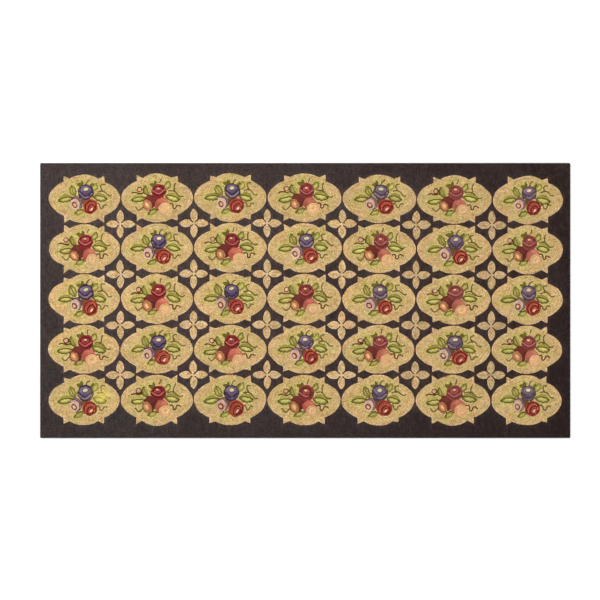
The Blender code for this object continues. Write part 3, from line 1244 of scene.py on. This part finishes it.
def backs_colour(tree, where):
    """The pattern as the flat backs of the strips show it on the underside."""
    place = new_node(tree, "SeparateXYZ", Vector=where)
    x, y = (math_node(tree, "DIVIDE", place.outputs[axis], MM) for axis in "XY")
    x, column, in_columns = cell_axis(tree, x, COLUMN_EDGES[0], CELL_WIDE, COLUMNS)
    y, row, in_rows = cell_axis(tree, y, ROW_EDGES[-1], CELL_HIGH, ROWS)
    in_lattice = math_node(tree, "MULTIPLY", in_columns, in_rows)
    crimson = math_node(tree, "MODULO", math_node(tree, "ADD", column, row), 2.0)
    colour = node_colour("umber")

    def patched(mask, wool):
        share = math_node(tree, "MULTIPLY", mask, in_lattice)
        return mix_node(tree, share, colour, wool)

    side = oval_mask(tree, x, y, (0, 0), (SIDE_HALF_LENGTH, SIDE_HALF_HEIGHT))
    arch = oval_mask(tree, x, y, (0, 0), (EAR_OUTER, ARCH_TOP))
    colour = patched(math_node(tree, "MAXIMUM", side, arch), node_colour("cream"))
    for turn in (-1, 1):
        leaves = oval_mask(tree, x, y, (turn * BACK_LEAVES, 0), BACK_LEAF_SIZE)
        colour = patched(leaves, node_colour("olive"))
    for rose in BACK_ROSES:
        wool = mix_node(tree, crimson, node_colour(rose.even), node_colour(rose.odd))
        round_rose = oval_mask(tree, x, y, (rose.x, rose.y), (rose.radius, rose.radius))
        colour = patched(round_rose, wool)
    return colour


def cloth_material():
    """Plain-woven jute, dark brown, which also stands as painted shade in the gaps between the loops
    on top, and shows between the strips' backs on the underside.
    """
    material, tree, shader = new_material("jute_ground", 0.95)
    where = new_node(tree, "TexCoord").outputs["Object"]
    weave = []
    for axis, scale in (("X", THREAD_SCALE), ("Y", THREAD_SCALE), ("X", BACKS_SCALE)):
        wave = new_node(tree, "TexWave", Scale=scale, Distortion=0.6, Vector=where)
        wave.bands_direction = axis
        weave.append(wave.outputs["Fac"])
    threads = math_node(tree, "MULTIPLY", weave[0], weave[1])
    jute = mix_node(tree, threads, node_colour("jute_deep"), node_colour("jute"))
    normal = new_node(tree, "NewGeometry").outputs["Normal"]
    upwards = new_node(tree, "SeparateXYZ", Vector=normal).outputs["Z"]
    below = math_node(tree, "LESS_THAN", upwards, FACING_DOWN)
    backs = math_node(tree, "POWER", weave[2], BACKS_NARROW)
    strips = math_node(tree, "MULTIPLY", below, backs)
    feed(tree, shader, Base_Color=mix_node(tree, strips, jute, backs_colour(tree, where)))
    add_bump(tree, shader, math_node(tree, "ADD", threads, strips), 0.5)
    return material


def floor_material():
    """Plain pale floor."""
    material, tree, shader = new_material("floor", 0.85)
    feed(tree, shader, Base_Color=(0.93, 0.93, 0.93, 1.0))
    return material


# Stage

PHOTO_WIDTH = 600  # pixels
RUG_PIXELS = 530.45  # the rug's length in the photo
RUG_CENTRE_PIXEL = (305.2, 300.5)
LENS, SENSOR, FARTHEST_SEEN = 85.0, 36.0, 100.0
FLOOR_SIZE = 60.0  # metres
WHITE, SURROUNDING_LIGHT = (1.0, 1.0, 1.0, 1.0), 0.52


def add_camera():
    """A camera straight above, framing the rug as the photo does."""
    pixel = RUG_SIZE[0] / RUG_PIXELS
    data = bpy.data.cameras.new("camera")
    data.lens, data.sensor_width, data.clip_end = LENS, SENSOR, FARTHEST_SEEN
    camera = bpy.data.objects.new("camera", data)
    middle = PHOTO_WIDTH / 2
    camera.location = ((middle - RUG_CENTRE_PIXEL[0]) * pixel,
                       (RUG_CENTRE_PIXEL[1] - middle) * pixel,
                       RUG_HIGH[2] + PHOTO_WIDTH * pixel * LENS / SENSOR)
    bpy.context.scene.collection.objects.link(camera)
    bpy.context.scene.camera = camera


def add_area_light(name, place, size, power):
    """A square soft light that looks at the rug's middle."""
    data = bpy.data.lights.new(name, "AREA")
    data.shape = "SQUARE"
    data.size, data.energy = size, power
    light = bpy.data.objects.new(name, data)
    light.location = place
    light.rotation_euler = (-light.location).to_track_quat("-Z", "Y").to_euler()
    bpy.context.scene.collection.objects.link(light)


def add_stage():
    """Floor, soft studio light and a white surrounding."""
    bpy.ops.mesh.primitive_plane_add(size=FLOOR_SIZE, location=(0, 0, 0))
    floor = bpy.context.object
    floor.name = "floor"
    floor.data.materials.append(floor_material())
    add_area_light("key", place=(-3.5, 3.0, 5.0), size=4.0, power=350.0)
    add_area_light("fill", place=(3.5, -2.0, 6.0), size=5.0, power=175.0)
    world = bpy.data.worlds.new("studio")
    world.use_nodes = True
    tree = world.node_tree
    feed(tree, tree.nodes["Background"], Color=WHITE, Strength=SURROUNDING_LIGHT)
    bpy.context.scene.world = world
    bpy.context.scene.view_settings.view_transform = "Standard"


def medallion_pieces(wool):
    """The medallions, one piece for each row of them."""
    rows = [[] for _ in range(ROWS)]
    for cell in medallion_cells():
        bouquet = BLUE_BOUQUET if (cell.row + cell.column) % 2 == 0 else CRIMSON_BOUQUET
        loops = medallion_loops(bouquet, cell.outline, aged_wool(cell.place.x),
                                ROW_PAINTED_LIGHT[cell.row], cell.seed)
        if (cell.row, cell.column) == STAINED_CELL:
            loops = stained(loops)
        rows[cell.row].append(placed_loops(loops, cell.place, cell.sway))
    return [pile_piece(f"medallions_row_{row + 1}", groups, columns=2, material=wool, seed=row)
            for row, groups in enumerate(rows)]


def ground_pieces(wool):
    """The dark ground in three bands, each mapped in three lengths."""
    loops = DarkGround().loops()
    pieces = []
    cuts = np.array([-1, 1]) / 6
    for band, name in enumerate(("bottom", "middle", "top")):
        in_band = np.digitize(loops.y, cuts * RUG_SIZE[1]) == band
        lengths = [chosen(loops, in_band & (np.digitize(loops.x, cuts * RUG_SIZE[0]) == third))
                   for third in range(3)]
        pieces.append(pile_piece(f"dark_ground_{name}", lengths, columns=1, material=wool,
                                 seed=30 + band))
    return pieces


def add_rug():
    """Every piece of the rug, riding on its one body."""
    wool = wool_material()
    flowers = [placed_loops(flower_loops(cell.outline, cell.seed, FLOWER_LIGHTNESS[cell.column]),
                            cell.place, cell.sway) for cell in flower_cells()]
    pieces = [*medallion_pieces(wool),
              pile_piece("four_petal_flowers", flowers, columns=5, material=wool, seed=20),
              *ground_pieces(wool)]
    cloth = cloth_piece("ground_cloth", cloth_material())
    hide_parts(RUG_NODE)
    for piece in [cloth, *pieces]:
        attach(piece, "root")


add_stage()
add_camera()
add_rug()
